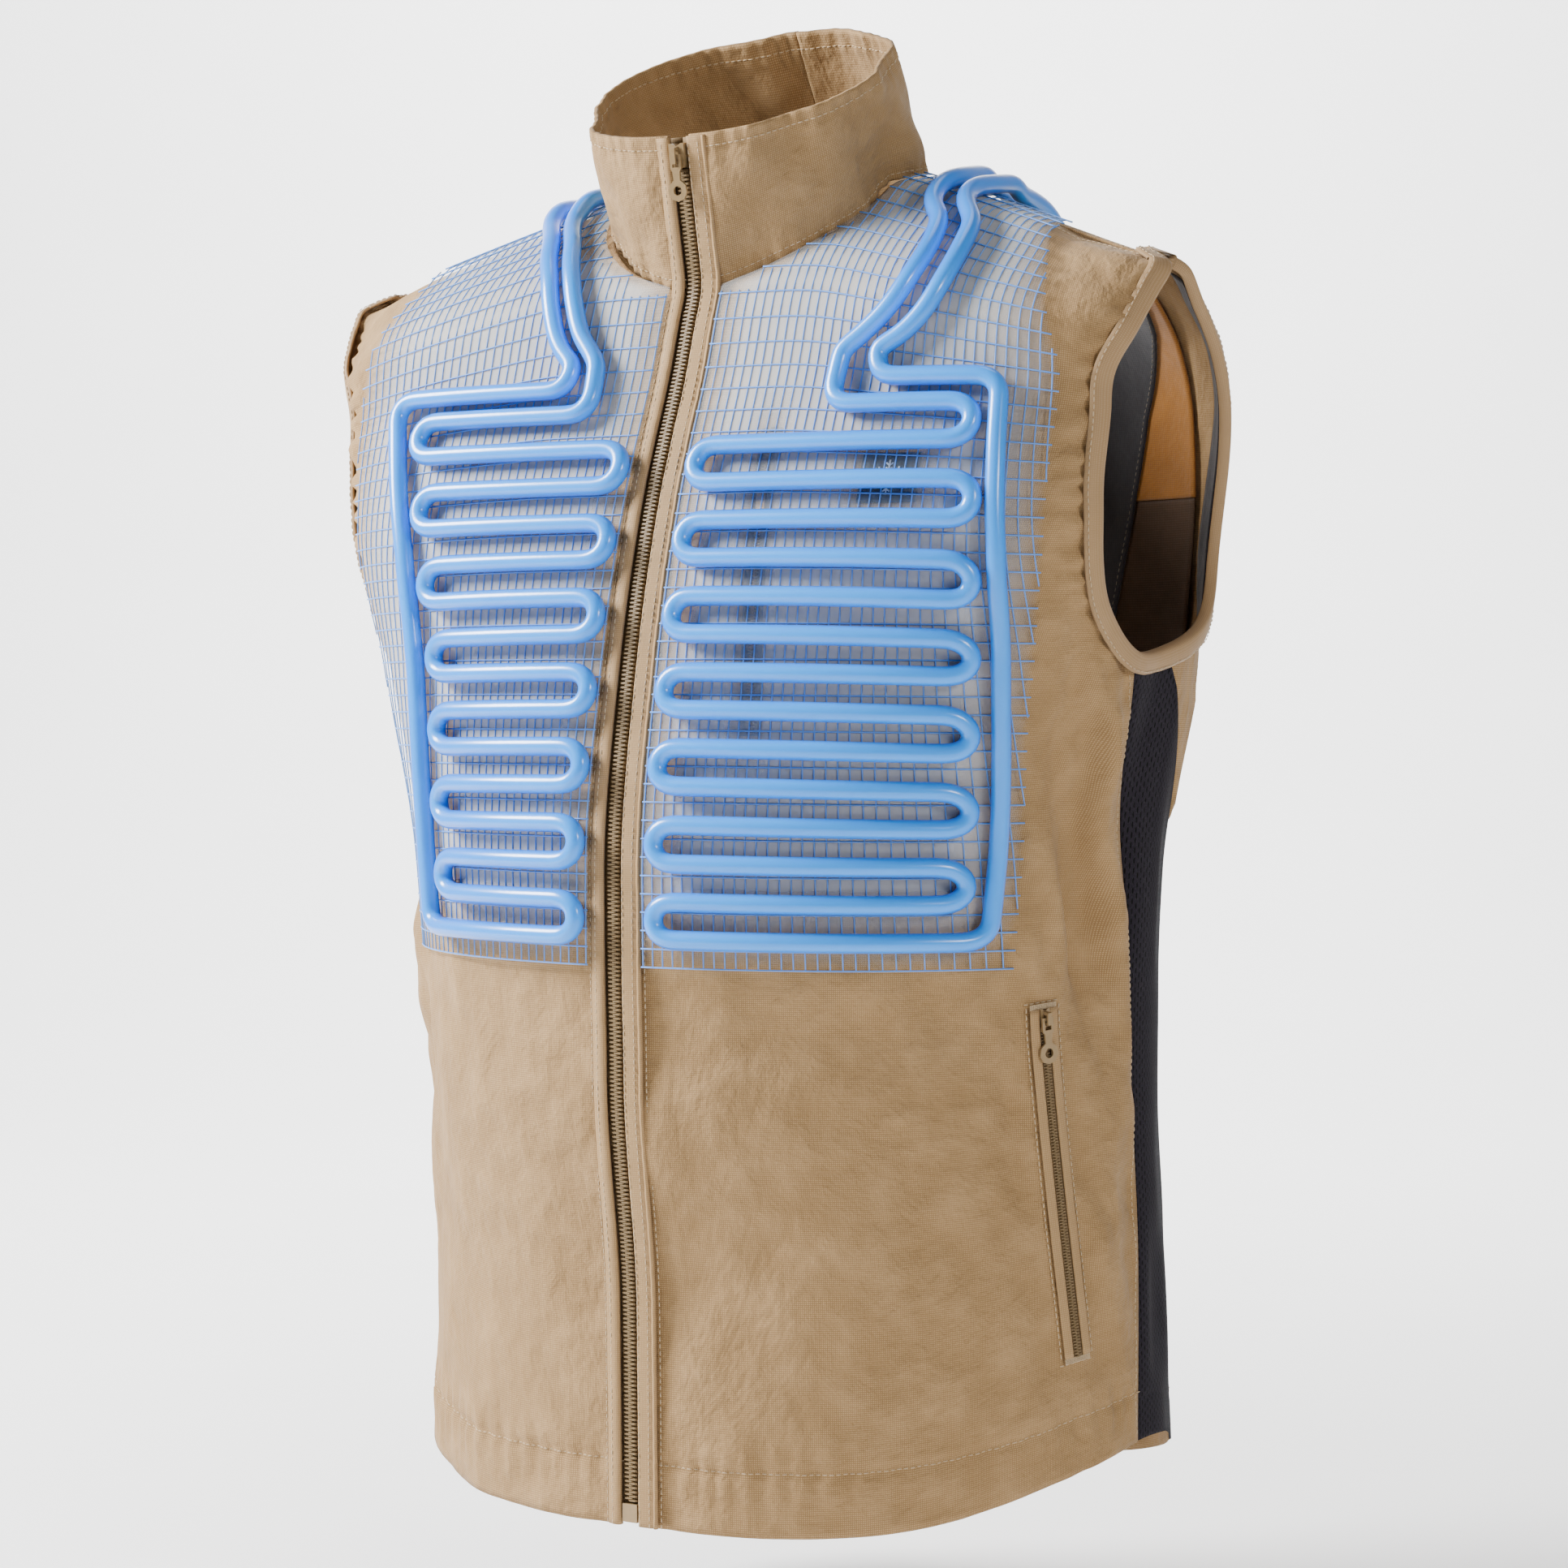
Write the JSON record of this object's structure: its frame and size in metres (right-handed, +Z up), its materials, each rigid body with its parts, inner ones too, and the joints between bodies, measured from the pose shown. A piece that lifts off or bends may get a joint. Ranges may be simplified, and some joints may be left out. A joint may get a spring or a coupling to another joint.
{
  "type": "cooling vest",
  "caption": "Sleeveless zip-front work vest with a stand collar, mesh side panels and coolant hoses looped over net panels on the chest.",
  "frame": {"origin": "between the two neck points, where the collar meets the shoulders, the level that a wearer's shoulders carry", "axes": "+Z up from hem to collar, -Y the way the zip front faces, +X the wearer's left"},
  "size_m": [0.4822, 0.3239, 0.7482],
  "materials": {
    "tan_cloth": "matt crepe-textured polyester cloth, warm tan",
    "tan_trim": "smooth flat polyester trim, tan",
    "black_mesh": "perforated knit mesh, black",
    "ochre_lining": "satin lining cloth, ochre",
    "brown_lining": "lining cloth, dark brown",
    "sheer_panel": "sheer net laid over tan cloth, greyish with blue threads",
    "blue_hose": "soft translucent plastic hose, bright blue",
    "zip_teeth": "moulded zip teeth, brown-grey",
    "painted_zip_metal": "zip slider and pull, enamelled tan",
    "teal_patch": "moulded control patch, dark teal with a plain white snow crystal"
  },
  "bodies": {
    "vest": {"front_panel_left": "tan_cloth", "front_panel_right": "tan_cloth", "side_panel_left": "black_mesh", "side_panel_right": "black_mesh", "back_panel": "tan_cloth", "collar": "tan_cloth", "armhole_binding_left": "tan_trim", "armhole_binding_right": "tan_trim", "armhole_facing_left": "black_mesh", "armhole_facing_right": "black_mesh", "back_lining_center": "black_mesh", "back_lining_upper_left": "ochre_lining", "back_lining_upper_right": "ochre_lining", "back_lining_lower_left": "brown_lining", "back_lining_lower_right": "brown_lining", "cooling_panel_left": "sheer_panel", "cooling_panel_right": "sheer_panel", "cooling_hose_left": "blue_hose", "cooling_hose_right": "blue_hose", "zip_tape_left": "tan_trim", "zip_tape_right": "tan_trim", "zip_chain": "zip_teeth", "zip_retainer_box": "zip_teeth", "placket_left": "tan_cloth", "placket_right": "tan_cloth", "front_zip_slider": "painted_zip_metal", "hand_pocket_lip_fore": "tan_cloth", "hand_pocket_lip_rear": "tan_cloth", "hand_pocket_chain": "zip_teeth", "hand_pocket_slider": "painted_zip_metal", "chest_pocket_zip": "zip_teeth", "chest_pocket_pull": "painted_zip_metal", "control_patch": "teal_patch"},
    "front_pull": {"front_zip_pull": "painted_zip_metal"},
    "pocket_pull": {"hand_pocket_pull": "painted_zip_metal"}
  },
  "joints": [
    {"name": "front_pull_swing", "type": "hinge", "parent": "vest", "child": "front_pull", "pos_m": [0, -0.12073, 0.00043], "axis": [-1, 0, 0], "range_deg": [0, 150]},
    {"name": "pocket_pull_swing", "type": "hinge", "parent": "vest", "child": "pocket_pull", "pos_m": [0.18407, -0.07749, -0.41983], "axis": [-0.4568, -0.8833, -0.1057], "range_deg": [0, 150]}
  ]
}
